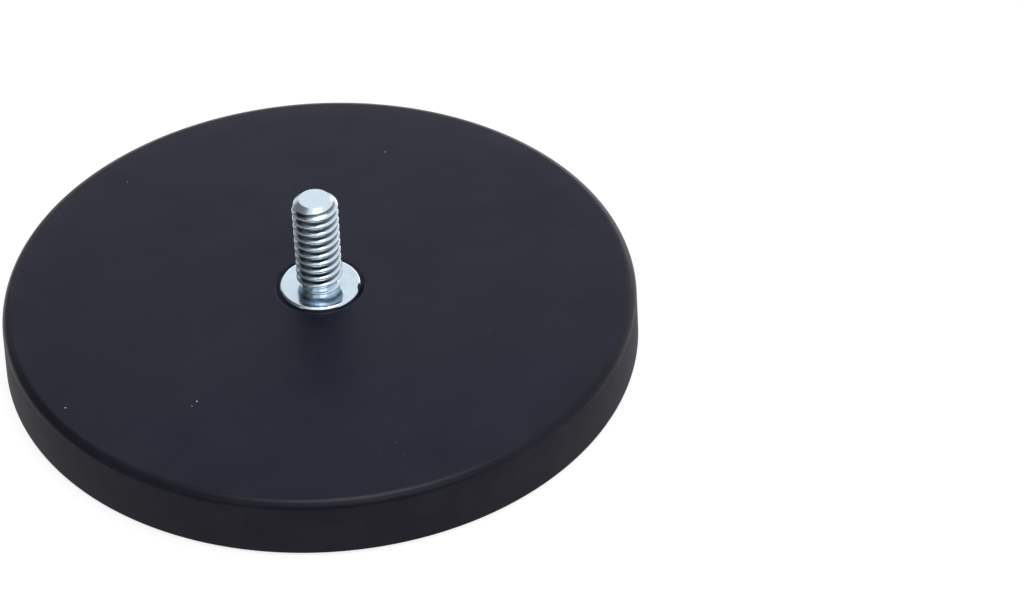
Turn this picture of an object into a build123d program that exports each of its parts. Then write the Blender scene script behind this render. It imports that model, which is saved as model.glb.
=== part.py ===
from build123d import *
import os

# Rubber-covered pot magnet with a threaded stud. All sizes are in millimetres.
#
# A steel plate carries a ring of disc magnets on its underside, and a flanged stud is
# riveted through its middle. Rubber is moulded round them all, so every insert is bedded
# in the cover with no gap, and only the rim of the flange and the stud stand out of it.
#
# The magnet lies on its holding face with the stud up. The origin is the centre of the
# plane that the face rests on, and +Z runs up the stud.

# Rubber cover
cover_diameter = 88.0  # at the face, where the wall is widest
wall_draft = 2.7  # degrees that the wall leans in towards the back
back_edge_radius = 1.5
face_edge_radius = 0.4
side_skin = 3.5  # rubber outside the steel plate, at the face
back_skin = 1.5  # rubber over the back of the steel plate
face_skin = 1.0  # rubber under a magnet

# Steel plate
plate_thickness = 2.5
plate_chamfer = 0.3

# Magnets, and the low pads that the rubber forms under them
magnet_count = 12
magnet_diameter = 13.0
magnet_height = 3.5
magnet_chamfer = 0.25
magnet_inset = 1.6  # from the rim of the steel plate to a magnet
pad_margin = 0.5  # how far a pad spreads past its magnet
pad_rise = 0.15  # how far a pad stands out of the face
pad_slope = 60.0  # degrees that the side of a pad leans in

# Moulding gate in the middle of the face: a domed nub in a shallow round recess
recess_diameter = 8.4
recess_depth = 0.12
nub_diameter = 4.1
nub_clearance = 0.05  # keeps the nub off the surface that the pads rest on

# Stud: 1/4-20 UNC, in one piece with its flange
thread_diameter = 6.35
thread_pitch = 1.27
stud_length = 15.0  # above the back of the cover
tip_chamfer = 1.05
tip_radius = 0.25
neck_height = 1.3  # plain length between the flange and the thread
neck_fillet = 0.45
flange_diameter = 11.3
flange_proud = 0.3  # how far the flange stands out of the cover
flange_chamfer = 0.15
shank_diameter = 7.0  # through the steel plate
rivet_diameter = 10.0  # the end of the shank, spread under the plate
rivet_height = 1.2
rivet_chamfer = 0.5

# Moat that the mould leaves in the rubber round the flange
moat_depth = 0.35
moat_floor_width = 0.2
moat_slope_width = 0.35

# Levels, from the resting plane up
face_level = pad_rise
recess_level = face_level + recess_depth
magnet_bottom = face_skin
plate_bottom = magnet_bottom + magnet_height
rivet_bottom = plate_bottom - rivet_height
plate_top = plate_bottom + plate_thickness
cover_top = plate_top + back_skin
flange_top = cover_top + flange_proud
neck_top = flange_top + neck_height
stud_top = cover_top + stud_length

# Sizes that follow from the ones above
plate_diameter = cover_diameter - 2 * side_skin
ring_radius = (plate_diameter - magnet_diameter) / 2 - magnet_inset
pad_diameter = magnet_diameter + 2 * pad_margin
moat_floor_radius = flange_diameter / 2 + moat_floor_width
moat_outer_radius = moat_floor_radius + moat_slope_width

# The thread is rolled, so it rises out of a blank of its pitch diameter. The neck is still
# that blank. A 60 degree thread has its pitch line 3/8 of its sharp height under the crest.
sharp_height = thread_pitch / 2 * 3**0.5
crest_height = sharp_height * 3 / 8
blank_diameter = thread_diameter - 2 * crest_height
thread_bottom = neck_top + crest_height


with BuildPart() as steel_plate:
    with BuildSketch(Plane.XY.offset(plate_bottom)):
        Circle(plate_diameter / 2)
        Circle(shank_diameter / 2, mode=Mode.SUBTRACT)
    extrude(amount=plate_thickness)
    outer_rims = steel_plate.edges().filter_by(GeomType.CIRCLE).group_by(SortBy.RADIUS)[-1]
    chamfer(outer_rims, plate_chamfer)
steel_plate.part.label = "steel_plate"


# Each corner of the turned profile is its radius, its height and how far it is rounded.
stud_corners = [
    (rivet_diameter / 2 - rivet_chamfer, rivet_bottom, 0),
    (rivet_diameter / 2, rivet_bottom + rivet_chamfer, 0),
    (rivet_diameter / 2, plate_bottom, 0),
    (shank_diameter / 2, plate_bottom, 0),
    (shank_diameter / 2, plate_top, 0),
    (flange_diameter / 2, plate_top, 0),
    (flange_diameter / 2, flange_top - flange_chamfer, 0),
    (flange_diameter / 2 - flange_chamfer, flange_top, 0),
    (blank_diameter / 2, flange_top, neck_fillet),
    (blank_diameter / 2, neck_top, 0),
    (thread_diameter / 2, thread_bottom, 0),
    (thread_diameter / 2, stud_top - tip_chamfer, tip_radius),
    (thread_diameter / 2 - tip_chamfer, stud_top, tip_radius),
]

with BuildPart() as threaded_stud:
    with BuildSketch(Plane.XZ):
        with BuildLine():
            outline = FilletPolyline(
                (0, rivet_bottom),
                *[(radius, height) for radius, height, _ in stud_corners],
                (0, stud_top),
                radius=[rounding for _, _, rounding in stud_corners],
            )
            Line(outline @ 1, outline @ 0)
        make_face()
    revolve(axis=Axis.Z)
threaded_stud.part.label = "threaded_stud"


def make_magnet(seat, label):
    """Makes one disc magnet, standing on its seat in the ring, with both rims broken."""
    with BuildPart() as magnet:
        with BuildSketch(Plane(seat).offset(magnet_bottom)):
            Circle(magnet_diameter / 2)
        extrude(amount=magnet_height)
        chamfer(magnet.edges().filter_by(GeomType.CIRCLE), magnet_chamfer)
    magnet.part.label = label
    return magnet.part


magnets = [
    make_magnet(seat, f"magnet_{number:02d}")
    for number, seat in enumerate(PolarLocations(ring_radius, magnet_count), start=1)
]


with BuildPart() as rubber_cover:
    with BuildSketch(Plane.XY.offset(face_level)):
        Circle(cover_diameter / 2)
    extrude(amount=cover_top - face_level, taper=wall_draft)
    fillet(rubber_cover.edges().group_by(Axis.Z)[-1], back_edge_radius)
    fillet(rubber_cover.edges().group_by(Axis.Z)[0], face_edge_radius)

    # A pad under each magnet
    with BuildSketch(Plane.XY.offset(face_level)):
        with PolarLocations(ring_radius, magnet_count):
            Circle(pad_diameter / 2)
    extrude(amount=-pad_rise, taper=pad_slope)

    # The gate: a round recess, and the domed nub that stands in it
    with BuildSketch(Plane.XY.offset(face_level)):
        Circle(recess_diameter / 2)
    extrude(amount=recess_depth, mode=Mode.SUBTRACT)
    with BuildSketch(Plane.XZ):
        with BuildLine():
            dome = TangentArc((0, nub_clearance), (nub_diameter / 2, recess_level), tangent=(1, 0))
            Polyline(dome @ 1, (0, recess_level), dome @ 0)
        make_face()
    revolve(axis=Axis.Z)

    # The moat round the flange
    with BuildSketch(Plane.XZ):
        Polygon(
            (0, cover_top),
            (0, cover_top - moat_depth),
            (moat_floor_radius, cover_top - moat_depth),
            (moat_outer_radius, cover_top),
            align=None,
        )
    revolve(axis=Axis.Z, mode=Mode.SUBTRACT)

    # The bed of the inserts
    add([steel_plate.part, threaded_stud.part, *magnets], mode=Mode.SUBTRACT)
rubber_cover.part.label = "rubber_cover"


os.makedirs("parts", exist_ok=True)
for piece in [rubber_cover.part, steel_plate.part, threaded_stud.part, *magnets]:
    export_step(piece, f"parts/{piece.label}.step")
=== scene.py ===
import logging
import math
from dataclasses import dataclass, field
from enum import Enum

import bpy
import numpy as np
from mathutils import Matrix, Vector


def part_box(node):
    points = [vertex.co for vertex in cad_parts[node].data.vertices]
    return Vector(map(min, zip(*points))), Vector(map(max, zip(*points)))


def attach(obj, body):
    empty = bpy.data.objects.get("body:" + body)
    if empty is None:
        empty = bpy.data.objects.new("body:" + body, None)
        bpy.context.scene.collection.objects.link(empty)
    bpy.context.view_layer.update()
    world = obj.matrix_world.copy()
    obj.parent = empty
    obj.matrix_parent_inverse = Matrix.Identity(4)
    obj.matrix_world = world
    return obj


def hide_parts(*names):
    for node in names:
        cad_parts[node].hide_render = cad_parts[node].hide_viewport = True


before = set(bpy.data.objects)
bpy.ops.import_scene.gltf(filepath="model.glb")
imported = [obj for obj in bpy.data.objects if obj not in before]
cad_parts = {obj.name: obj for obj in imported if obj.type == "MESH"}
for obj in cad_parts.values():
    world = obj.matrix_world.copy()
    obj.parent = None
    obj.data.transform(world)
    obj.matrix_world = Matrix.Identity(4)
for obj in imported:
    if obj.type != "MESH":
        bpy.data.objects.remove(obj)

logging.basicConfig(level=logging.INFO, format="%(name)s: %(message)s")
log = logging.getLogger("pot_magnet")

MM = 0.001
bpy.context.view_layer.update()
BODY = "root"
STUD_NODE = "threaded_stud"

# Where a Mix node has its factor and its two inputs, for colours and for values
MIX_COLOURS = (0, 6, 7)
MIX_VALUES = (0, 2, 3)

# The cover's mask "side" has this value on the rounded edge of the back, and 1 on the wall
SIDE_AT_EDGE = 0.5

Colour = tuple[float, float, float]
Point = tuple[float, float, float]
Span = tuple[float, float]
Socket = bpy.types.NodeSocket
Sockets = bpy.types.bpy_prop_collection
Feed = Socket | float | tuple[float, ...]


class Slot(Enum):
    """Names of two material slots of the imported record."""

    RUBBER = "cover_rubber"
    ZINC = "zinc_plated_steel"


# ---------------------------------------------------------------------------------------
# Surfaces
# ---------------------------------------------------------------------------------------


def smooth_step(low: float, high: float, value: np.ndarray) -> np.ndarray:
    """Rises from 0 to 1 between two values: 3t² - 2t³, where t is the clamped share.

    Args:
        low: Value where the step starts.
        high: Value where it ends. It may be under low, for a step that falls.
        value: Values to step.

    Returns:
        The step of each value.
    """
    t = np.clip((value - low) / (high - low), 0.0, 1.0)
    return t * t * (3.0 - 2.0 * t)


def soft_min(first: np.ndarray, second: np.ndarray, blend: float) -> np.ndarray:
    """Lesser of two surfaces with a rounded crease: min(a, b) - blend n² / 4.

    The nearness n is 1 - |a - b| / blend, and it is 0 where the two are further apart.

    Args:
        first: One surface.
        second: The other.
        blend: How far apart the two may be where they still blend.

    Returns:
        The rounded minimum.
    """
    nearness = np.maximum(blend - np.abs(first - second), 0.0) / blend
    return np.minimum(first, second) - nearness * nearness * blend / 4.0


def soft_max(first: np.ndarray, second: np.ndarray, blend: float) -> np.ndarray:
    """Greater of two surfaces with a rounded crease, as soft_min turned over."""
    return -soft_min(-first, -second, blend)


def line(start: tuple[float, float], end: tuple[float, float], steps: int) -> np.ndarray:
    """Points evenly along a straight stretch of a profile, without its end.

    Args:
        start: Radius and height of the first point.
        end: Radius and height that the next stretch starts at.
        steps: How many points.

    Returns:
        An array of (radius, height) rows.
    """
    share = np.arange(steps)[:, None] / steps
    return np.array(start) + share * (np.array(end) - np.array(start))


def arc(
    centre: tuple[float, float], radius: float, first: float, last: float, steps: int
) -> np.ndarray:
    """Points evenly along a round stretch of a profile, with both ends.

    Args:
        centre: Radius and height of the arc's centre.
        radius: The arc's radius.
        first: Angle of the first point, in degrees from the outward direction.
        last: Angle of the last point.
        steps: How many steps between the points.

    Returns:
        An array of (radius, height) rows.
    """
    angle = np.radians(np.linspace(first, last, steps + 1))
    return np.array(centre) + radius * np.stack([np.cos(angle), np.sin(angle)], axis=1)


@dataclass
class Surface:
    """A closed surface of rings about an upright axis, with a pole at each end.

    Attributes:
        rings: Points as (ring, column, xyz), in millimetres.
        poles: The points that close the first and the last ring.
    """

    rings: np.ndarray
    poles: tuple[Point, Point]

    @classmethod
    def revolved(
        cls, profile: np.ndarray, columns: int, about: tuple[float, float] = (0.0, 0.0)
    ) -> "Surface":
        """Turns a profile about an upright axis: (x, y) = axis + r (cos a, sin a).

        Args:
            profile: (radius, height) rows. The first and the last are on the axis.
            columns: How many points go round.
            about: Where the axis stands.

        Returns:
            The surface.
        """
        angle = np.arange(columns) * (2.0 * math.pi / columns)
        radius, height = profile[1:-1, :1], profile[1:-1, 1:]
        x = about[0] + radius * np.cos(angle)
        y = about[1] + radius * np.sin(angle)
        rings = np.stack([x, y, np.broadcast_to(height, x.shape)], axis=2)
        ends = tuple((about[0], about[1], float(profile[i, 1])) for i in (0, -1))
        return cls(rings, ends)

    def points(self) -> np.ndarray:
        """All points in a row: the rings in order, and then the two poles."""
        return np.concatenate([self.rings.reshape(-1, 3), np.array(self.poles, float)])

    def faces(self, offset: int) -> list[list[int]]:
        """Quads between rings and a fan at each pole, turned to face outwards.

        Args:
            offset: Index of this surface's first point in its mesh.

        Returns:
            The corners of each face.
        """
        rows, columns = self.rings.shape[:2]
        here = np.arange(columns)
        after = (here + 1) % columns
        start = np.arange(rows - 1)[:, None] * columns
        quads = np.stack(
            [start + here, start + columns + here, start + columns + after, start + after], axis=2
        ).reshape(-1, 4)
        last, first_pole = (rows - 1) * columns, rows * columns
        first_tips, last_tips = np.full_like(here, first_pole), np.full_like(here, first_pole + 1)
        first_fan = np.stack([first_tips, here, after], axis=1)
        last_fan = np.stack([last + here, last_tips, last + after], axis=1)
        return (
            (quads + offset).tolist()
            + (first_fan + offset).tolist()
            + (last_fan + offset).tolist()
        )


def make_piece(
    name: str,
    surfaces: list[Surface],
    material: bpy.types.Material,
    sharp: float = 32.0,
    masks: dict[str, np.ndarray] | None = None,
) -> bpy.types.Object:
    """Makes one visible piece from closed surfaces, and lets it ride on the part.

    Args:
        name: The piece's name.
        surfaces: Its closed surfaces, in millimetres.
        material: Its finish.
        sharp: Edges that turn by more than this many degrees stay crisp.
        masks: Values for each point that the material reads by name.

    Returns:
        The piece.
    """
    points, faces = [], []
    for surface in surfaces:
        faces += surface.faces(sum(len(p) for p in points))
        points.append(surface.points())
    mesh = bpy.data.meshes.new(name)
    mesh.from_pydata((np.concatenate(points) * MM).tolist(), [], faces)
    for mask, values in (masks or {}).items():
        attribute = mesh.attributes.new(mask, "FLOAT", "POINT")
        attribute.data.foreach_set("value", values.astype(np.float32))
    mesh.shade_smooth()
    mesh.set_sharp_from_angle(angle=math.radians(sharp))
    mesh.materials.append(material)
    piece = bpy.data.objects.new(name, mesh)
    bpy.context.scene.collection.objects.link(piece)
    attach(piece, BODY)
    log.info("%s: %d points, %d faces", name, len(mesh.vertices), len(mesh.polygons))
    return piece


# ---------------------------------------------------------------------------------------
# Shader effects
# ---------------------------------------------------------------------------------------


class Wiring:
    """Adds nodes to one node tree and links them."""

    def __init__(self, tree: bpy.types.NodeTree) -> None:
        """Empties the tree."""
        self.tree = tree
        tree.nodes.clear()

    def node(
        self, kind: str, inputs: dict[str | int, Feed] | None = None, **settings: object
    ) -> bpy.types.Node:
        """Adds one node.

        Args:
            kind: Type of the node, without its leading "ShaderNode" where it has one.
            inputs: A value or a socket for each named or numbered input.
            **settings: Properties of the node.

        Returns:
            The node.
        """
        is_plain = kind.startswith("NodeGroup")
        node = self.tree.nodes.new(kind if is_plain else f"ShaderNode{kind}")
        for key, value in settings.items():
            setattr(node, key, value)
        for key, value in (inputs or {}).items():
            self.feed(node.inputs[key], value)
        return node

    def feed(self, socket: Socket, value: Feed) -> None:
        """Links a socket into another, or writes a plain value on it.

        Args:
            socket: The socket that is fed.
            value: The output of another node, or a plain value.
        """
        if isinstance(value, Socket):
            self.tree.links.new(value, socket)
        else:
            socket.default_value = value

    def math(self, operation: str, *values: Feed) -> Socket:
        """Output of a Math node."""
        return self.node("Math", dict(enumerate(values)), operation=operation).outputs[0]

    def remap(
        self, value: Feed, low: Feed, high: Feed, new_low: float = 0.0, new_high: float = 1.0
    ) -> Socket:
        """Output of a smooth, clamped Map Range node.

        Args:
            value: What is mapped.
            low: Value that becomes new_low.
            high: Value that becomes new_high. It may be under low.
            new_low: First end of what comes out.
            new_high: Last end of what comes out.

        Returns:
            The mapped value.
        """
        limits = {"Value": value, "From Min": low, "From Max": high}
        limits |= {"To Min": new_low, "To Max": new_high}
        node = self.node("MapRange", limits, interpolation_type="SMOOTHSTEP")
        return node.outputs["Result"]

    def mix(self, factor: Feed, first: Feed, second: Feed) -> Socket:
        """Output of a Mix node for colours.

        Args:
            factor: Share of the second colour.
            first: Colour where the factor is 0.
            second: Colour where the factor is 1.

        Returns:
            The mixed colour.
        """
        node = self.node("Mix", data_type="RGBA")
        for index, value in zip(MIX_COLOURS, (factor, first, second)):
            if isinstance(value, tuple):
                value = (*value, 1.0)
            self.feed(node.inputs[index], value)
        return node.outputs[2]

    def blend(self, factor: Feed, first: Feed, second: Feed) -> Socket:
        """Output of a Mix node for values.

        Args:
            factor: Share of the second value.
            first: Value where the factor is 0.
            second: Value where the factor is 1.

        Returns:
            The mixed value.
        """
        node = self.node("Mix", data_type="FLOAT")
        for index, value in zip(MIX_VALUES, (factor, first, second)):
            self.feed(node.inputs[index], value)
        return node.outputs[0]

    def noise(
        self, vector: Feed, scale: Feed, detail: float = 3.0, roughness: float = 0.5
    ) -> Socket:
        """Output value of a Noise texture."""
        inputs = {"Vector": vector, "Scale": scale, "Detail": detail, "Roughness": roughness}
        return self.node("TexNoise", inputs).outputs[0]

    def bump(
        self, height: Feed, strength: float, rise: float, normal: Socket | None = None
    ) -> Socket:
        """Normal that a height bends.

        Args:
            height: The height, where 1 is a full rise.
            strength: Share of the full effect.
            rise: A full rise, in millimetres.
            normal: The normal that is bent. Without one, it is the surface's own.

        Returns:
            The bent normal.
        """
        inputs = {"Height": height, "Strength": strength, "Distance": rise * MM}
        if normal is not None:
            inputs["Normal"] = normal
        return self.node("Bump", inputs).outputs[0]

    def object_place(self) -> Socket:
        """Object coordinates of the shaded point, in metres."""
        return self.node("TexCoord").outputs["Object"]

    def attribute(self, name: str) -> Socket:
        """Value of a mask that the piece's mesh carries."""
        return self.node("Attribute", attribute_name=name).outputs["Fac"]

    def group(self, effect: "Effect", **inputs: Feed) -> Socket:
        """Places a shared effect with its own values.

        Args:
            effect: The effect.
            **inputs: A value or a socket for each input, named in lower case.

        Returns:
            The effect's output.
        """
        node = self.node("Group", node_tree=effect.tree())
        for key, value in inputs.items():
            self.feed(node.inputs[key.capitalize()], value)
        return node.outputs[0]


class Effect:
    """A shader effect that several finishes share, as one node group.

    Attributes:
        name: The group's name.
        inputs: Its values by name, as they are at first. It also has a Vector input.
        output: What it puts out.
    """

    name = "effect"
    inputs: dict[str, float] = {}
    output = "Value"

    def tree(self) -> bpy.types.NodeTree:
        """Finds the group, and builds it the first time.

        Returns:
            The group.
        """
        tree = bpy.data.node_groups.get(self.name)
        if tree is None:
            tree = bpy.data.node_groups.new(self.name, "ShaderNodeTree")
            wiring = Wiring(tree)
            ports = tree.interface
            ports.new_socket("Vector", in_out="INPUT", socket_type="NodeSocketVector")
            for name, value in self.inputs.items():
                port = ports.new_socket(name, in_out="INPUT", socket_type="NodeSocketFloat")
                port.default_value = value
            ports.new_socket(self.output, in_out="OUTPUT", socket_type="NodeSocketFloat")
            given = wiring.node("NodeGroupInput").outputs
            wiring.node("NodeGroupOutput", {0: self.draw(wiring, given)})
        return tree

    def draw(self, wiring: Wiring, given: Sockets) -> Socket:
        """Wires the effect from its inputs, and returns the socket that it puts out."""
        raise NotImplementedError


class Mottle(Effect):
    """Cloudy unevenness, from 0 to 1: a broad noise and a finer one added, then stretched."""

    name = "mottle"
    inputs = {"Scale": 100.0, "Spread": 0.25}
    middle = 0.5
    finer = 4.3
    fine_share = 0.35

    def draw(self, wiring: Wiring, given: Sockets) -> Socket:
        """Wires the two noises and stretches their sum over the spread.

        Args:
            wiring: Wiring of the group.
            given: The group's inputs.

        Returns:
            The mottle.
        """
        broad = wiring.noise(given["Vector"], given["Scale"], detail=2.0)
        finer_scale = wiring.math("MULTIPLY", given["Scale"], self.finer)
        fine = wiring.noise(given["Vector"], finer_scale, detail=4.0, roughness=0.6)
        broad = wiring.math("MULTIPLY", broad, 1.0 - self.fine_share)
        total = wiring.math("MULTIPLY_ADD", fine, self.fine_share, broad)
        low = wiring.math("SUBTRACT", self.middle, given["Spread"])
        high = wiring.math("ADD", self.middle, given["Spread"])
        return wiring.remap(total, low, high)


class Specks(Effect):
    """Scattered round specks, from 0 to 1: a share of the cells of a Voronoi pattern hold one."""

    name = "specks"
    inputs = {"Scale": 100.0, "Size": 0.1, "Share": 0.3}
    smallest = 0.2
    soft_rim = 0.6

    def draw(self, wiring: Wiring, given: Sockets) -> Socket:
        """Wires a dot round each cell's point, shrunk or dropped by the cell's own chance.

        Args:
            wiring: Wiring of the group.
            given: The group's inputs.

        Returns:
            The specks.
        """
        cells = wiring.node("TexVoronoi", {"Vector": given["Vector"], "Scale": given["Scale"]})
        chance = wiring.node("SeparateColor", {0: cells.outputs["Color"]}).outputs
        chosen = wiring.math("LESS_THAN", chance[0], given["Share"])
        own_share = wiring.math("MULTIPLY_ADD", chance[1], 1.0 - self.smallest, self.smallest)
        size = wiring.math("MULTIPLY", own_share, given["Size"])
        off = wiring.math("DIVIDE", cells.outputs["Distance"], size)
        inside = wiring.math("SUBTRACT", 1.0, off)
        return wiring.math("MULTIPLY", wiring.remap(inside, 0.0, self.soft_rim), chosen)


class Spot(Effect):
    """One round speck seen from above, from 0 to 1, at a place and with a radius of its own."""

    name = "spot"
    inputs = {"X": 0.0, "Y": 0.0, "Radius": 0.0001}
    core = 0.4

    def draw(self, wiring: Wiring, given: Sockets) -> Socket:
        """Wires the level distance from the place, and fades it out from the core to the radius.

        Args:
            wiring: Wiring of the group.
            given: The group's inputs.

        Returns:
            The spot.
        """
        parts = wiring.node("SeparateXYZ", {0: given["Vector"]}).outputs
        across = wiring.math("SUBTRACT", parts[0], given["X"])
        along = wiring.math("SUBTRACT", parts[1], given["Y"])
        flat = wiring.node("CombineXYZ", {0: across, 1: along})
        length = wiring.node("VectorMath", {0: flat.outputs[0]}, operation="LENGTH")
        share = wiring.math("DIVIDE", length.outputs["Value"], given["Radius"])
        return wiring.remap(share, 1.0, self.core)


class Grain(Effect):
    """Height of a fine even grain."""

    name = "grain"
    inputs = {"Scale": 4000.0}
    output = "Height"

    def draw(self, wiring: Wiring, given: Sockets) -> Socket:
        """Wires one detailed noise."""
        return wiring.noise(given["Vector"], given["Scale"], detail=4.0, roughness=0.65)


class TurningMarks(Effect):
    """Height of the fine rings that a lathe leaves: noise of the distance from the axis alone."""

    name = "turning_marks"
    inputs = {"Scale": 6000.0}
    output = "Height"
    level = (1.0, 1.0, 0.0)

    def draw(self, wiring: Wiring, given: Sockets) -> Socket:
        """Wires a one-dimensional noise along the radius.

        Args:
            wiring: Wiring of the group.
            given: The group's inputs.

        Returns:
            The height.
        """
        sides = {0: given["Vector"], 1: self.level}
        flat = wiring.node("VectorMath", sides, operation="MULTIPLY")
        radius = wiring.node("VectorMath", {0: flat.outputs[0]}, operation="LENGTH")
        inputs = {"W": radius.outputs["Value"], "Scale": given["Scale"], "Detail": 2.0}
        return wiring.node("TexNoise", inputs, noise_dimensions="1D").outputs[0]


MOTTLE, SPECKS, SPOT = Mottle(), Specks(), Spot()
GRAIN, TURNING_MARKS = Grain(), TurningMarks()


def principled(
    name: str, **values: Feed
) -> tuple[bpy.types.Material, Wiring, bpy.types.Node]:
    """Starts a material with a Principled shader.

    Args:
        name: The material's name.
        **values: Values of the shader's sockets, named with _ for each space.

    Returns:
        The material, its wiring and the shader.
    """
    material = bpy.data.materials.new(name)
    material.use_nodes = True
    wiring = Wiring(material.node_tree)
    shader = wiring.node("BsdfPrincipled")
    for key, value in values.items():
        wiring.feed(shader.inputs[key.replace("_", " ")], value)
    wiring.node("OutputMaterial", {"Surface": shader.outputs[0]})
    return material, wiring, shader


# ---------------------------------------------------------------------------------------
# Finishes
# ---------------------------------------------------------------------------------------


@dataclass(frozen=True)
class RubberFinish:
    """Black moulded rubber: an even painted bluish sheen and tone on the back, for bluish light
    from above, chalky and scuffed on the face.

    Each span gives the two ends of a range. The radii are in millimetres, and each mote has
    its place along X and Y and its radius.
    """

    # The back and the wall. The back's bluer tone and the wall's warmer tone are painted light:
    # bluish light from above and warm light from the floor
    skin: Colour = (0.0066, 0.0073, 0.0126)
    skin_pale: Colour = (0.0104, 0.0113, 0.0172)
    pale_share: float = 0.7
    side: Colour = (0.0088, 0.0082, 0.0132)
    side_pale: Colour = (0.0166, 0.0164, 0.0240)
    # The holding face, with its pads, and the halo and the nub in its middle; the nub's paler
    # tone is a painted highlight
    face: Colour = (0.060, 0.061, 0.070)
    face_pale: Colour = (0.088, 0.088, 0.096)
    face_dark: Colour = (0.050, 0.051, 0.060)
    pad: Colour = (0.090, 0.089, 0.094)
    scuff_clouds: Span = (0.1, 0.7)
    scuff_share: Span = (0.35, 0.9)
    halo_radius: float = 9.0
    halo_share: float = 0.5
    nub_radius: float = 2.8
    painted_nub_highlight_share: float = 0.7
    # Lint everywhere, in patches, and the few larger motes on the back
    dust: Colour = (0.42, 0.43, 0.45)
    lint_patches: Span = (0.5, 0.62)
    lint_share: Span = (0.06, 0.34)
    motes: tuple[tuple[float, float, float], ...] = (
        (-15.2, -23.7, 0.16), (-15.8, -24.6, 0.1), (-32.4, -24.6, 0.16),
        (8.2, 30.2, 0.12), (-28.9, 23.9, 0.1),
    )
    # Gloss, and its tint: a painted bluish sheen on the back, and plainer elsewhere
    gloss: float = 0.155
    painted_blue_sheen: Colour = (0.42, 0.48, 1.0)
    plain: Colour = (0.82, 0.80, 1.0)
    roughness: Span = (0.38, 0.46)
    edge_roughness: float = 0.33
    side_roughness: float = 0.64

    def build(self) -> bpy.types.Material:
        """Makes the rubber, which reads the masks "face", "pad" and "side" of the cover.

        Returns:
            The material.
        """
        material, wiring, shader = principled("moulded_rubber", Specular_IOR_Level=self.gloss)
        place = wiring.object_place()
        cloud = wiring.group(MOTTLE, vector=place, scale=95.0, spread=0.22)
        chalk = wiring.group(MOTTLE, vector=place, scale=240.0, spread=0.2)
        face, side = wiring.attribute("face"), wiring.attribute("side")
        edge = wiring.remap(side, 0.0, SIDE_AT_EDGE)
        wall = wiring.remap(side, SIDE_AT_EDGE, 1.0)
        # Painted light: the back is bluer for light from above, and the wall warmer for light
        # from the floor.
        outside = self.outside_colour(wiring, cloud, chalk, side)
        clean = wiring.mix(face, outside, self.face_colour(wiring, place, cloud, chalk))
        back = wiring.math("SUBTRACT", 1.0, wiring.math("MAXIMUM", side, face))
        lint = self.lint(wiring, place, back)
        wiring.feed(shader.inputs["Base Color"], wiring.mix(lint, clean, self.dust))
        # Painted bluish sheen: the back's reflections are tinted blue, and the edge, wall and
        # face are plainer.
        tint = wiring.mix(wiring.math("MAXIMUM", edge, face), self.painted_blue_sheen, self.plain)
        wiring.feed(shader.inputs["Specular Tint"], tint)
        rough = wiring.remap(cloud, 0.0, 1.0, *self.roughness)
        rough = wiring.blend(edge, rough, self.edge_roughness)
        rough = wiring.blend(wall, rough, self.side_roughness)
        wiring.feed(shader.inputs["Roughness"], wiring.blend(face, rough, self.side_roughness))
        grain = wiring.group(GRAIN, vector=place, scale=2600.0)
        fine = wiring.bump(grain, strength=0.12, rise=0.03)
        waves = wiring.noise(place, 120.0, detail=1.0)
        wavy = wiring.bump(waves, strength=0.35, rise=0.25, normal=fine)
        wiring.feed(shader.inputs["Normal"], wavy)
        return material

    def outside_colour(
        self, wiring: Wiring, cloud: Socket, chalk: Socket, side: Socket
    ) -> Socket:
        """Wires the colour of the back, clouded, and of the wall, rubbed paler. The back's bluer
        tone and the wall's warmer one are painted light.

        Args:
            wiring: The material's wiring.
            cloud: The broad mottle.
            chalk: The finer mottle.
            side: The cover's mask of its edge and wall.

        Returns:
            The colour.
        """
        share = wiring.math("MULTIPLY", cloud, self.pale_share)
        back = wiring.mix(share, self.skin, self.skin_pale)
        rubbed = wiring.mix(wiring.math("MULTIPLY", chalk, cloud), self.side, self.side_pale)
        return wiring.mix(side, back, rubbed)

    def face_colour(
        self, wiring: Wiring, place: Socket, cloud: Socket, chalk: Socket
    ) -> Socket:
        """Wires the chalky face, its scuffed pads, and the darker halo round the nub, whose
        paleness is a painted highlight.

        Args:
            wiring: The material's wiring.
            place: Object coordinates.
            cloud: The broad mottle.
            chalk: The finer mottle.

        Returns:
            The colour.
        """
        worn = wiring.mix(chalk, self.face, self.face_pale)
        heavy = wiring.remap(cloud, *self.scuff_clouds, *self.scuff_share)
        scuff = wiring.math("MULTIPLY", wiring.attribute("pad"), heavy)
        worn = wiring.mix(scuff, worn, self.pad)
        halo = (self.face_dark, self.halo_share, self.halo_radius)
        # The nub is made paler: a painted highlight on its dome.
        nub = (self.pad, self.painted_nub_highlight_share, self.nub_radius)
        for tone, share, radius in (halo, nub):
            disc = wiring.group(SPOT, vector=place, x=0.0, y=0.0, radius=radius * MM)
            worn = wiring.mix(wiring.math("MULTIPLY", disc, share), worn, tone)
        return worn

    def lint(self, wiring: Wiring, place: Socket, back: Socket) -> Socket:
        """Wires the mask of the lint in its patches and of the motes on the back.

        Args:
            wiring: The material's wiring.
            place: Object coordinates.
            back: Mask of the back.

        Returns:
            The mask.
        """
        fine = wiring.group(SPECKS, vector=place, scale=900.0, size=0.09, share=0.3)
        broad = wiring.noise(place, 55.0, detail=1.0)
        patches = wiring.remap(broad, *self.lint_patches, *self.lint_share)
        lint = wiring.math("MULTIPLY", fine, patches)
        for x, y, radius in self.motes:
            mote = wiring.group(SPOT, vector=place, x=x * MM, y=y * MM, radius=radius * MM)
            lint = wiring.math("MAXIMUM", lint, wiring.math("MULTIPLY", mote, back))
        return lint


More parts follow.
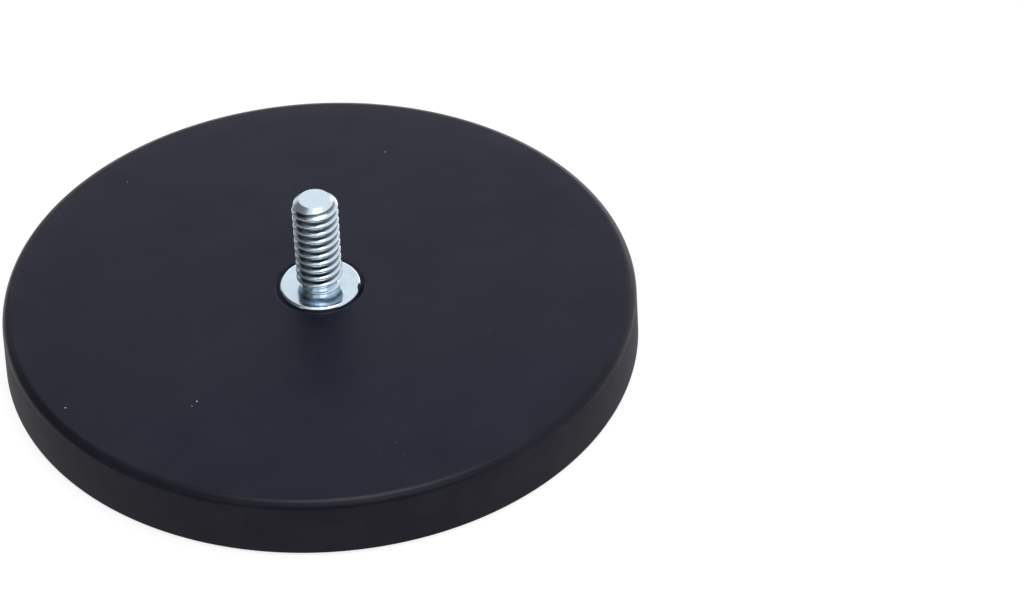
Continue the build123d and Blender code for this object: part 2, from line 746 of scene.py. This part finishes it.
@dataclass(frozen=True)
class ZincFinish:
    """Bright zinc plating with the faint blue of its clear passivation.

    The stud's cut end is rougher. It starts end_depth under the tip, and is full after
    end_fade, both in millimetres.
    """

    bright: Colour = (0.645, 0.76, 0.865)
    dull: Colour = (0.50, 0.60, 0.68)
    dull_share: float = 0.45
    soil_and_shade: Colour = (0.10, 0.115, 0.125)
    soil_and_shade_share: float = 0.9
    roughness: Span = (0.13, 0.20)
    end_roughness: float = 0.13
    end_depth: float = 1.3
    end_fade: float = 0.4

    def build(self) -> bpy.types.Material:
        """Makes the plating, which reads the mask "groove" of the stud. The grooves are darkened,
        partly as dirt and partly as painted shade.

        Returns:
            The material.
        """
        material, wiring, shader = principled("zinc_plating", Metallic=1.0)
        place = wiring.object_place()
        cloud = wiring.group(MOTTLE, vector=place, scale=420.0, spread=0.2)
        dulled = wiring.math("MULTIPLY", cloud, self.dull_share)
        colour = wiring.mix(dulled, self.bright, self.dull)
        # The grooves darken, partly as dirt and partly as painted shade in the hollows of the
        # thread.
        groove = wiring.math("MULTIPLY", wiring.attribute("groove"), self.soil_and_shade_share)
        wiring.feed(shader.inputs["Base Color"], wiring.mix(groove, colour, self.soil_and_shade))
        rough = wiring.remap(cloud, 0.0, 1.0, *self.roughness)
        height = wiring.node("SeparateXYZ", {"Vector": place}).outputs["Z"]
        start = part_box(STUD_NODE)[1].z - self.end_depth * MM
        end = wiring.remap(height, start, start + self.end_fade * MM, 0.0, self.end_roughness)
        wiring.feed(shader.inputs["Roughness"], wiring.math("ADD", rough, end))
        rings = wiring.group(TURNING_MARKS, vector=place, scale=5200.0)
        grain = wiring.group(GRAIN, vector=place, scale=3800.0)
        turned = wiring.bump(rings, strength=0.06, rise=0.02)
        grainy = wiring.bump(grain, strength=0.07, rise=0.02, normal=turned)
        wiring.feed(shader.inputs["Normal"], grainy)
        return material


@dataclass(frozen=True)
class SheetSteelFinish:
    """Plain rolled steel with a thin film of oil."""

    clean: Colour = (0.40, 0.41, 0.42)
    stained: Colour = (0.23, 0.22, 0.21)
    roughness: Span = (0.3, 0.5)

    def build(self) -> bpy.types.Material:
        """Makes the bare steel of the plate.

        Returns:
            The material.
        """
        material, wiring, shader = principled("sheet_steel", Metallic=1.0)
        place = wiring.object_place()
        cloud = wiring.group(MOTTLE, vector=place, scale=130.0, spread=0.2)
        wiring.feed(shader.inputs["Base Color"], wiring.mix(cloud, self.clean, self.stained))
        wiring.feed(shader.inputs["Roughness"], wiring.remap(cloud, 0.0, 1.0, *self.roughness))
        grain = wiring.group(GRAIN, vector=place, scale=2200.0)
        wiring.feed(shader.inputs["Normal"], wiring.bump(grain, strength=0.2, rise=0.02))
        return material


@dataclass(frozen=True)
class NickelFinish:
    """Smooth nickel plating of the magnets, with handling marks."""

    bright: Colour = (0.66, 0.63, 0.58)
    marked: Colour = (0.50, 0.47, 0.43)
    roughness: Span = (0.1, 0.24)

    def build(self) -> bpy.types.Material:
        """Makes the nickel plating.

        Returns:
            The material.
        """
        material, wiring, shader = principled("nickel_plating", Metallic=1.0)
        place = wiring.object_place()
        cloud = wiring.group(MOTTLE, vector=place, scale=300.0, spread=0.22)
        wiring.feed(shader.inputs["Base Color"], wiring.mix(cloud, self.bright, self.marked))
        wiring.feed(shader.inputs["Roughness"], wiring.remap(cloud, 0.0, 1.0, *self.roughness))
        return material


# ---------------------------------------------------------------------------------------
# Pieces
# ---------------------------------------------------------------------------------------


@dataclass
class InnerPieces:
    """Steel plate and magnets, which stay as the frame has them and get their finishes."""

    plate: str = "steel_plate"
    magnet_prefix: str = "magnet_"

    def magnets(self) -> list[str]:
        """Names of the magnets' nodes, in order."""
        return sorted(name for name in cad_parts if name.startswith(self.magnet_prefix))

    def dress(self) -> None:
        """Gives each piece its finish."""
        self.dress_node(self.plate, SheetSteelFinish().build())
        nickel = NickelFinish().build()
        for name in self.magnets():
            self.dress_node(name, nickel)
        log.info("inner pieces: 1 plate, %d magnets", len(self.magnets()))

    @staticmethod
    def dress_node(name: str, material: bpy.types.Material) -> None:
        """Puts a finish on every face of a node of the frame.

        Args:
            name: The node's name.
            material: The finish.
        """
        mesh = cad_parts[name].data
        mesh.materials.clear()
        mesh.materials.append(material)


@dataclass
class RubberCover:
    """The moulded cover, with the bed of its inserts inside.

    Sizes are in millimetres, and angles about the axis are in degrees from +X. The spans of
    the fill and of the film give where each starts and where it is full, and then where it
    ends and where it stops being full.
    """

    node: str = "rubber_cover"
    draft: float = 2.7
    back_edge_radius: float = 1.5
    face_edge_radius: float = 0.4
    pad_rise: float = 0.15
    pad_radius: float = 7.0
    pad_slope: float = 0.3
    recess_radius: float = 4.2
    recess_depth: float = 0.12
    recess_slope: float = 0.2
    nub_radius: float = 2.05
    nub_clearance: float = 0.05
    moat_depth: float = 0.35
    moat_floor: float = 0.2
    moat_slope: float = 0.35
    moat_edge: float = 0.08
    moat_fill: float = 0.8
    fill_rise: Span = (0.0, 25.0)
    fill_fall: Span = (180.0, 135.0)
    film_rise: Span = (-38.0, -9.0)
    film_fall: Span = (4.0, -3.0)
    film_fold: float = 0.16
    rivet_radius: float = 5.0
    rivet_chamfer: float = 0.5
    insert_chamfer: float = 0.3
    magnet_chamfer: float = 0.25
    pocket_film: float = 0.01
    edge_fade: Span = (-0.2, 0.3)
    wall_fade: Span = (0.8, 1.5)
    pad_ring_step: float = 0.2
    nub_ring_step: float = 0.1
    face_margin: float = 0.4
    recess_margin: float = 0.3
    nub_margin: float = 0.5
    pole_radius: float = 0.3
    slope_rows: int = 4
    back_rows: int = 10
    columns: int = 480
    pocket_columns: int = 48
    inner: InnerPieces = field(default_factory=InnerPieces)

    def __post_init__(self) -> None:
        """Reads from the frame what the cover has to fit."""
        low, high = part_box(self.node)
        self.top = high.z / MM
        self.widest = high.x / MM
        plate_low, plate_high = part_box(self.inner.plate)
        self.plate_radius = plate_high.x / MM
        self.plate_bottom, self.plate_top = plate_low.z / MM, plate_high.z / MM
        stud_low, stud_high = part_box(STUD_NODE)
        self.flange_radius = stud_high.x / MM
        self.rivet_bottom = stud_low.z / MM
        self.seats = [self.middle(name) for name in self.inner.magnets()]
        magnet_low, magnet_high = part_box(self.inner.magnets()[0])
        self.magnet_radius = (magnet_high.x - magnet_low.x) / 2 / MM
        self.magnet_bottom = magnet_low.z / MM

    @staticmethod
    def middle(node: str) -> tuple[float, float]:
        """Returns where a node's middle is, seen from above."""
        low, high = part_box(node)
        return (low.x + high.x) / 2 / MM, (low.y + high.y) / 2 / MM

    def bed(self) -> np.ndarray:
        """Profile of the bed of the rivet, the plate and the flange, from the middle out.

        Returns:
            Corners as (radius, height) rows.
        """
        chamfer = self.insert_chamfer
        corners = [
            (0.0, self.rivet_bottom),
            (self.rivet_radius - self.rivet_chamfer, self.rivet_bottom),
            (self.rivet_radius, self.rivet_bottom + self.rivet_chamfer),
            (self.rivet_radius, self.plate_bottom),
            (self.plate_radius - chamfer, self.plate_bottom),
            (self.plate_radius, self.plate_bottom + chamfer),
            (self.plate_radius, self.plate_top - chamfer),
            (self.plate_radius - chamfer, self.plate_top),
            (self.flange_radius, self.plate_top),
        ]
        return np.array(corners)

    def back(self) -> np.ndarray:
        """Profile of the moat and the back, from the flange out to where its edge rounds.

        Returns:
            Points as (radius, height) rows.
        """
        top, edge = self.top, self.moat_edge
        floor_end = self.flange_radius + self.moat_floor
        rim = floor_end + self.moat_slope
        slope_end = (rim - edge, top - edge)
        level_start = rim + 0.6
        return np.concatenate([
            line((floor_end, top - self.moat_depth), slope_end, self.slope_rows),
            np.array([slope_end, (rim, top - edge / 4), (rim + 0.1, top)]),
            line((level_start, top), (self.back_edge_centre[0], top), self.back_rows),
        ])

    def lip(self) -> tuple[np.ndarray, np.ndarray]:
        """Profiles of the film of flash that laps over the flange's rim.

        Returns:
            The film folded flat into the moat's floor, and at its full reach.
        """
        corner = (self.flange_radius, self.top - self.moat_depth)
        reach = np.array([
            (-0.05, 0.0), (-0.04, 0.22), (-0.16, 0.46), (-0.36, 0.62), (-0.39, 0.68),
            (-0.20, 0.67), (-0.01, 0.56), (0.10, 0.34), (0.17, 0.04),
        ])
        start = (corner[0] + reach[0, 0], corner[1])
        folded = line(start, (corner[0] + self.film_fold, corner[1]), len(reach))
        return folded, reach + corner

    def fill(self, angle: np.ndarray) -> np.ndarray:
        """Share of the moat's depth that the rubber fills at each angle."""
        both = smooth_step(*self.fill_rise, angle) * smooth_step(*self.fill_fall, angle)
        return self.moat_fill * both

    def lap(self, angle: np.ndarray) -> np.ndarray:
        """Share of its full reach that the film has at each angle."""
        return smooth_step(*self.film_rise, angle) * smooth_step(*self.film_fall, angle)

    def edge_radius_at(self, height: float, radius: float) -> float:
        """How far out a rounded edge has its centre: inside the drafted wall by its radius.

        Args:
            height: Height of the centre.
            radius: Radius of the rounded edge.

        Returns:
            Distance of the centre from the axis.
        """
        draft = math.radians(self.draft)
        lean = (height - self.pad_rise) * math.tan(draft)
        return self.foot - lean - radius / math.cos(draft)

    @property
    def back_edge_centre(self) -> tuple[float, float]:
        """Where the rounded edge of the back has its centre, as radius and height."""
        height = self.top - self.back_edge_radius
        return self.edge_radius_at(height, self.back_edge_radius), height

    @property
    def face_edge_centre(self) -> tuple[float, float]:
        """Where the rounded edge of the holding face has its centre, as radius and height."""
        height = self.pad_rise + self.face_edge_radius
        return self.edge_radius_at(height, self.face_edge_radius), height

    @property
    def foot(self) -> float:
        """Radius where the drafted wall would meet the face without its rounded edge."""
        draft, radius = math.radians(self.draft), self.face_edge_radius
        return self.widest - radius + radius * math.tan(draft) + radius / math.cos(draft)

    def wall(self) -> np.ndarray:
        """Profile of the rounded back edge, the drafted wall and the rounded face edge.

        Returns:
            Points as (radius, height) rows.
        """
        upper = arc(self.back_edge_centre, self.back_edge_radius, 90.0, self.draft, 16)
        lower = arc(self.face_edge_centre, self.face_edge_radius, self.draft, -90.0, 8)
        return np.concatenate([upper, lower])

    def face_radii(self) -> np.ndarray:
        """Radii of the rings of the holding face, close together over the pads and the nub.

        Returns:
            The radii, from the face's edge in to its middle.
        """
        margin = self.face_margin
        ring = math.hypot(*self.seats[0])
        outer, inner = ring + self.pad_radius + margin, ring - self.pad_radius - margin
        edge, dome = self.face_edge_centre[0] - margin, self.nub_radius - self.nub_margin
        recess, gap = self.recess_radius, self.recess_margin
        return np.concatenate([
            np.linspace(edge, outer, 4, endpoint=False),
            np.arange(outer, inner, -self.pad_ring_step),
            np.linspace(inner, recess + 2.0 * gap, 10, endpoint=False),
            np.arange(recess + gap, dome, -self.nub_ring_step),
            np.linspace(dome, self.pole_radius, 5),
            [0.0],
        ])

    def pad_mask(self, x: np.ndarray, y: np.ndarray) -> np.ndarray:
        """Share of the pads' rise: 1 over a magnet, falling to 0 across the slope of its pad."""
        nearest = np.min([np.hypot(x - sx, y - sy) for sx, sy in self.seats], axis=0)
        return smooth_step(self.pad_radius, self.pad_radius - self.pad_slope, nearest)

    def face_height(self, x: np.ndarray, y: np.ndarray) -> np.ndarray:
        """Height of the holding face: level, less the pads, plus the recess, less the nub.

        Args:
            x: Places along X.
            y: Places along Y.

        Returns:
            Heights above the plane that the pads rest on.
        """
        radius = np.hypot(x, y)
        recess = smooth_step(self.recess_radius, self.recess_radius - self.recess_slope, radius)
        dome = np.clip(1.0 - (radius / self.nub_radius) ** 2, 0.0, 1.0)
        nub = (self.pad_rise + self.recess_depth - self.nub_clearance) * dome
        return self.pad_rise * (1.0 - self.pad_mask(x, y)) + self.recess_depth * recess - nub

    def skin(self) -> np.ndarray:
        """Profile from the middle of the bed round the outside to the holding face's edge."""
        return np.concatenate([self.bed(), self.lip()[0], self.back(), self.wall()])

    def shell(self) -> Surface:
        """The cover's skin and bed as one turned surface, with the face's relief pressed in.

        The film grows at each angle from folded to full reach by its share, and the moat's
        rings rise towards the back's level by the share that is filled.

        Returns:
            The surface.
        """
        radii = self.face_radii()
        face = np.stack([radii, np.full_like(radii, self.pad_rise)], axis=1)
        face[-1, 1] = float(self.face_height(np.zeros(1), np.zeros(1))[0])
        surface = Surface.revolved(np.concatenate([self.skin(), face]), self.columns)
        angle = np.arange(self.columns) * (360.0 / self.columns)
        angle = (angle + 180.0) % 360.0 - 180.0
        folded, reach = self.lip()
        grown = folded[:, :, None] + (reach - folded)[:, :, None] * self.lap(angle)
        film_start = len(self.bed()) - 1
        film_end = film_start + len(folded)
        film = surface.rings[film_start:film_end]
        film[:, :, 0] = grown[:, 0] * np.cos(np.radians(angle))
        film[:, :, 1] = grown[:, 0] * np.sin(np.radians(angle))
        film[:, :, 2] = grown[:, 1]
        height = surface.rings[film_start : film_end + len(self.back()), :, 2]
        height += np.maximum(self.top - height, 0.0) * self.fill(angle)
        relief = surface.rings[len(self.skin()) - 1 :]
        relief[:, :, 2] = self.face_height(relief[:, :, 0], relief[:, :, 1])
        return surface

    def pocket(self, seat: tuple[float, float]) -> Surface:
        """The cavity that one magnet fills, under the bed of the plate.

        Args:
            seat: Where the magnet's axis stands.

        Returns:
            The surface.
        """
        radius, chamfer = self.magnet_radius, self.magnet_chamfer
        low, high = self.magnet_bottom, self.plate_bottom - self.pocket_film
        corners = [
            (0.0, low), (radius - chamfer, low), (radius, low + chamfer),
            (radius, high - chamfer), (radius - chamfer, high), (0.0, high),
        ]
        return Surface.revolved(np.array(corners), self.pocket_columns, seat)

    def masks(self, shell: Surface, points: np.ndarray) -> dict[str, np.ndarray]:
        """Works out the masks that the rubber reads.

        Args:
            shell: The cover's shell, whose points come first.
            points: All points of the cover.

        Returns:
            For each point, whether it is on the holding face, its share of a pad, and where
            it is on the side: SIDE_AT_EDGE on the rounded edge of the back, and 1 on the wall.
        """
        index = np.arange(len(points))
        face_start = (len(self.skin()) - 1) * self.columns
        bed_pole = shell.rings.shape[0] * self.columns
        on_face = (index >= face_start) & (index < len(shell.points())) & (index != bed_pole)
        x, y, height = points.T
        radius, edge = np.hypot(x, y), self.back_edge_centre[0]
        rounded = smooth_step(edge + self.edge_fade[0], edge + self.edge_fade[1], radius)
        below = smooth_step(self.top - self.wall_fade[0], self.top - self.wall_fade[1], height)
        side = SIDE_AT_EDGE * rounded + (1.0 - SIDE_AT_EDGE) * below * (radius > edge)
        return {
            "face": on_face.astype(float),
            "pad": on_face * self.pad_mask(x, y),
            "side": ~on_face * side,
        }

    def build(self, rubber: bpy.types.Material) -> bpy.types.Object:
        """Makes the cover in place of its node.

        Args:
            rubber: The cover's finish.

        Returns:
            The piece.
        """
        shell = self.shell()
        surfaces = [shell] + [self.pocket(seat) for seat in self.seats]
        points = np.concatenate([surface.points() for surface in surfaces])
        masks = self.masks(shell, points)
        piece = make_piece("moulded_cover", surfaces, rubber, masks=masks)
        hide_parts(self.node)
        return piece


@dataclass
class ThreadedStud:
    """The stud with its flange, its rolled thread and its riveted end.

    Sizes are in millimetres. The neck's radius and the thread's spans are measured from the
    axis, and the phase is a share of a turn.
    """

    node: str = STUD_NODE
    flange_top: float = 8.8
    rim_width: float = 0.4
    rim_height: float = 0.52
    plate_top: float = 7.0
    plate_bottom: float = 4.5
    shank_radius: float = 3.5
    rivet_radius: float = 5.0
    rivet_chamfer: float = 0.5
    neck_radius: float = 2.4
    neck_fillet: float = 0.3
    major_radius: float = 3.175
    pitch: float = 1.27
    tip_chamfer: float = 1.05
    tip_blend: float = 0.16
    thread_start: float = 9.6
    thread_fade: float = 0.5
    phase: float = -0.07
    flank_angle: float = 60.0
    crest_apex: float = 3.46
    crest_blend: float = 0.3
    root_radius: float = 2.48
    root_blend: float = 0.25
    soil_and_shade_depth: Span = (3.04, 2.74)
    soil_and_shade_fade: float = 0.3
    row_height: float = 0.032
    columns: int = 128

    def __post_init__(self) -> None:
        """Reads the stud's length and flange from the frame."""
        low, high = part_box(self.node)
        self.tip, self.rivet_bottom = high.z / MM, low.z / MM
        self.flange_radius = high.x / MM
        self.tip_radius = self.major_radius - self.tip_chamfer

    def thread(self, angle: np.ndarray, height: np.ndarray) -> tuple[np.ndarray, np.ndarray]:
        """Radius of the threaded length at each angle and height, and how deep in a groove it is.

        A right-hand helix climbs one pitch a turn. Off the rounded crest the flanks fall by
        tan(flank_angle) of the distance from it, to the rounded root. The thread fades into the
        neck at its foot, and a 45° cone cuts it at the tip.

        Args:
            angle: Angles about the axis.
            height: Heights above the resting plane.

        Returns:
            The radii, and the shares of the grooves' depth.
        """
        turns = (height - self.tip) / self.pitch - angle / (2.0 * math.pi) + self.phase
        off_crest = np.abs(turns - np.round(turns)) * self.pitch
        flank = self.crest_apex - math.tan(math.radians(self.flank_angle)) * off_crest
        ridge = soft_min(flank, np.full_like(flank, self.major_radius), self.crest_blend)
        thread = soft_max(ridge, np.full_like(flank, self.root_radius), self.root_blend)
        full = smooth_step(self.thread_start, self.thread_start + self.thread_fade, height)
        threaded = self.neck_radius + (thread - self.neck_radius) * full
        cone = self.tip_radius + (self.tip - height)
        uncut = smooth_step(0.0, self.soil_and_shade_fade, cone - threaded)
        # How deep in a groove a point is: it darkens the plating, partly as dirt and partly as
        # painted shade.
        depth = smooth_step(*self.soil_and_shade_depth, thread) * full * uncut
        return soft_min(threaded, cone, self.tip_blend), depth

    def foot(self) -> np.ndarray:
        """Profile from the foot of the neck over the flange and the shank to the riveted end.

        The rim of the flange is a quarter of an ellipse.

        Returns:
            Points as (radius, height) rows.
        """
        fillet = self.neck_fillet
        corner = (self.neck_radius + fillet, self.flange_top + fillet)
        quarter = arc((0.0, 0.0), 1.0, 90.0, 0.0, 10)
        low_rim = (self.flange_radius - self.rim_width, self.flange_top - self.rim_height)
        rim = np.array(low_rim) + quarter * (self.rim_width, self.rim_height)
        flange = np.array([
            (self.flange_radius, self.plate_top),
            (self.shank_radius, self.plate_top),
            (self.shank_radius, self.plate_bottom),
            (self.rivet_radius, self.plate_bottom),
            (self.rivet_radius, self.rivet_bottom + self.rivet_chamfer),
            (self.rivet_radius - self.rivet_chamfer, self.rivet_bottom),
            (0.0, self.rivet_bottom),
        ])
        return np.concatenate([
            arc(corner, fillet, 180.0, 270.0, 10),
            line((corner[0] + 0.2, self.flange_top), tuple(rim[0]), 5),
            rim,
            flange,
        ])

    def build(self, zinc: bpy.types.Material) -> bpy.types.Object:
        """Makes the stud in place of its node.

        Args:
            zinc: The stud's finish.

        Returns:
            The piece.
        """
        neck_top = self.flange_top + self.neck_fillet
        rows = int(round((self.tip - neck_top) / self.row_height))
        heights = np.linspace(self.tip, neck_top, rows, endpoint=False)
        tip = line((0.0, self.tip), (self.tip_radius - self.tip_blend / 2, self.tip), 3)
        shank = np.stack([np.full_like(heights, self.neck_radius), heights], axis=1)
        surface = Surface.revolved(np.concatenate([tip, shank, self.foot()]), self.columns)
        threaded = slice(len(tip) - 1, len(tip) - 1 + rows)
        angle = np.arange(self.columns) * (2.0 * math.pi / self.columns)
        radius, groove = self.thread(angle[None, :], heights[:, None])
        surface.rings[threaded, :, 0] = radius * np.cos(angle)
        surface.rings[threaded, :, 1] = radius * np.sin(angle)
        depth = np.zeros(surface.rings.shape[:2])
        depth[threaded] = groove
        masks = {"groove": np.concatenate([depth.ravel(), [0.0, 0.0]])}
        piece = make_piece("plated_stud", [surface], zinc, masks=masks)
        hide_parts(self.node)
        return piece


# ---------------------------------------------------------------------------------------
# Studio
# ---------------------------------------------------------------------------------------


WHITE = (1.0, 1.0, 1.0, 1.0)


def grey(shade: float) -> tuple[float, float, float, float]:
    """An opaque grey, where a shade of 1 is white."""
    return (shade, shade, shade, 1.0)


def sheet(width: float, depth: float, height: float = 0.0) -> list[Point]:
    """Corners of a level sheet about the axis, in order round it."""
    x, y = width / 2, depth / 2
    return [(-x, -y, height), (x, -y, height), (x, y, height), (-x, y, height)]


@dataclass(frozen=True)
class Lamp:
    """A soft rectangular lamp that looks at the part.

    Attributes:
        name: The lamp's name.
        place: Where it hangs, in metres.
        size: Its width and height.
        radiance: How bright its face is, where 1 is white.
        in_gloss: Whether it shows in reflections.
    """

    name: str
    place: Point
    size: tuple[float, float]
    radiance: float
    in_gloss: bool = False

    def hang(self) -> None:
        """Hangs the lamp. A lamp's power is its radiance times its area times pi."""
        data = bpy.data.lights.new(self.name, "AREA")
        data.shape = "RECTANGLE"
        data.size, data.size_y = self.size
        data.energy = self.radiance * self.size[0] * self.size[1] * math.pi
        lamp = bpy.data.objects.new(self.name, data)
        lamp.location = self.place
        lamp.rotation_euler = (-Vector(self.place)).to_track_quat("-Z", "Y").to_euler()
        lamp.visible_glossy = self.in_gloss
        lamp.visible_camera = False
        bpy.context.scene.collection.objects.link(lamp)


@dataclass(frozen=True)
class Card:
    """A card of one shade that only reflections see, as studios use to shape metal.

    Attributes:
        name: The card's name.
        place: Where its middle hangs, in metres.
        size: Its width and height.
        shade: How bright it is, where 1 is white.
    """

    name: str
    place: Point
    size: tuple[float, float]
    shade: float = 0.03

    def hang(self) -> None:
        """Hangs the card so that it faces the part."""
        turn = (-Vector(self.place)).to_track_quat("Z", "Y").to_matrix()
        placed = [turn @ Vector(corner) + Vector(self.place) for corner in sheet(*self.size)]
        mesh = bpy.data.meshes.new(self.name)
        mesh.from_pydata(placed, [], [(0, 1, 2, 3)])
        material = bpy.data.materials.new(self.name)
        material.use_nodes = True
        wiring = Wiring(material.node_tree)
        glow = wiring.node("Emission", {"Color": WHITE, "Strength": self.shade})
        wiring.node("OutputMaterial", {"Surface": glow.outputs[0]})
        mesh.materials.append(material)
        card = bpy.data.objects.new(self.name, mesh)
        bpy.context.scene.collection.objects.link(card)
        card.visible_camera = card.visible_diffuse = card.visible_shadow = False


@dataclass
class Studio:
    """White set with soft light, cards and the camera.

    Lengths are in metres, the lift and the roll in degrees, and the focal length in widths
    of a pixel. The floor reflects as lit_floor where it lights the part. Where it is seen,
    it reflects as seen_floor and glows, so that it is white with a faint shadow.
    """

    floor_width: float = 3.0
    floor_drop: float = 0.00002
    lit_floor: float = 0.8
    seen_floor: float = 0.24
    floor_glow: float = 0.82
    ambient: float = 0.42
    lamps: tuple[Lamp, ...] = (
        Lamp("back_softbox", (-0.12, 0.75, 0.75), (0.9, 0.6), 1.0),
        Lamp("back_strip", (0.1, 1.15, 0.20), (1.5, 0.22), 3.0, True),
        Lamp("right_softbox", (0.75, 0.05, 0.65), (0.5, 0.7), 0.6),
        Lamp("top_softbox", (0.08, -0.06, 0.95), (0.44, 0.44), 6.8, True),
        Lamp("front_softbox", (0.26, -0.62, 0.74), (0.6, 0.36), 1.3, True),
    )
    cards: tuple[Card, ...] = (
        Card("left_card", (-0.528, 0.29, 0.734), (0.76, 0.56)),
        Card("left_front_card", (-0.599, -0.267, 0.728), (0.50, 0.56), 0.2),
        Card("back_left_card", (-0.576, 0.793, 0.17), (0.49, 0.36), 0.4),
        Card("mid_left_card", (-1.0, 0.0, 0.525), (1.6, 0.5), 0.2),
        Card("low_left_card", (-1.0, 0.0, 0.13), (1.6, 0.28)),
        Card("camera_card", (0.0, -0.92, 0.23), (2.0, 0.46)),
    )
    lift: float = 39.92
    roll: float = -0.85
    distance: float = 0.3931
    pan: tuple[float, float] = (-0.02636, -0.00466)
    focal_pixels: float = 2810.0
    frame_pixels: float = 1024.0
    sensor: float = 36.0

    def seen_rays(self, wiring: Wiring) -> Socket:
        """Wires 1 for camera, glossy and transmission rays, and 0 for the rays that light things.

        Args:
            wiring: Wiring of the material or the world.

        Returns:
            The 1 or the 0.
        """
        path = wiring.node("LightPath").outputs
        either = wiring.math("MAXIMUM", path["Is Camera Ray"], path["Is Glossy Ray"])
        return wiring.math("MAXIMUM", either, path["Is Transmission Ray"])

    def set_world(self) -> None:
        """White where it is seen, and dimmer where it lights."""
        world = bpy.data.worlds.new("white_studio")
        world.use_nodes = True
        wiring = Wiring(world.node_tree)
        levels = {"Value": self.seen_rays(wiring), "To Min": self.ambient, "To Max": 1.0}
        strength = wiring.node("MapRange", levels).outputs[0]
        glow = wiring.node("Background", {"Color": WHITE, "Strength": strength})
        wiring.node("OutputWorld", {"Surface": glow.outputs[0]})
        bpy.context.scene.world = world

    def lay_floor(self) -> None:
        """White floor that keeps a faint shadow under the part."""
        corners = sheet(self.floor_width, self.floor_width, -self.floor_drop)
        mesh = bpy.data.meshes.new("floor")
        mesh.from_pydata(corners, [], [(0, 1, 2, 3)])
        material = bpy.data.materials.new("white_floor")
        material.use_nodes = True
        wiring = Wiring(material.node_tree)
        lit = wiring.node("BsdfDiffuse", {"Color": grey(self.lit_floor)})
        faint = wiring.node("BsdfDiffuse", {"Color": grey(self.seen_floor)})
        glow = wiring.node("Emission", {"Color": WHITE, "Strength": self.floor_glow})
        shown = wiring.node("AddShader", {0: faint.outputs[0], 1: glow.outputs[0]})
        seen = self.seen_rays(wiring)
        both = wiring.node("MixShader", {0: seen, 1: lit.outputs[0], 2: shown.outputs[0]})
        below = wiring.node("NewGeometry").outputs["Backfacing"]
        clear = wiring.node("BsdfTransparent")
        sided = wiring.node("MixShader", {0: below, 1: both.outputs[0], 2: clear.outputs[0]})
        wiring.node("OutputMaterial", {"Surface": sided.outputs[0]})
        mesh.materials.append(material)
        floor = bpy.data.objects.new("floor", mesh)
        bpy.context.scene.collection.objects.link(floor)

    def set_camera(self) -> None:
        """Looks down at the part along +Y, with the view rolled and panned off its axis."""
        lift, roll = math.radians(self.lift), math.radians(self.roll)
        ahead = Vector((0.0, math.cos(lift), -math.sin(lift)))
        right = Vector((1.0, 0.0, 0.0))
        up = right.cross(ahead)
        across = math.cos(roll) * right + math.sin(roll) * up
        upward = -math.sin(roll) * right + math.cos(roll) * up
        place = -self.distance * ahead - self.pan[0] * across - self.pan[1] * upward
        turn = Matrix((across, upward, -ahead)).transposed().to_4x4()
        data = bpy.data.cameras.new("camera")
        data.sensor_width = self.sensor
        data.lens = self.sensor * self.focal_pixels / self.frame_pixels
        data.clip_start = 0.01
        camera = bpy.data.objects.new("camera", data)
        camera.matrix_world = Matrix.Translation(place) @ turn
        bpy.context.scene.collection.objects.link(camera)
        bpy.context.scene.camera = camera

    def build(self) -> None:
        """Sets the whole studio."""
        self.set_world()
        self.lay_floor()
        for fitting in (*self.lamps, *self.cards):
            fitting.hang()
        self.set_camera()
        bpy.context.scene.view_settings.view_transform = "Standard"
        log.info("studio: %d lamps, %d cards", len(self.lamps), len(self.cards))


def main() -> None:
    """Builds the pieces, dresses them and sets the studio."""
    Studio().build()
    InnerPieces().dress()
    RubberCover().build(RubberFinish().build())
    ThreadedStud().build(ZincFinish().build())


if __name__ == "__main__":
    main()
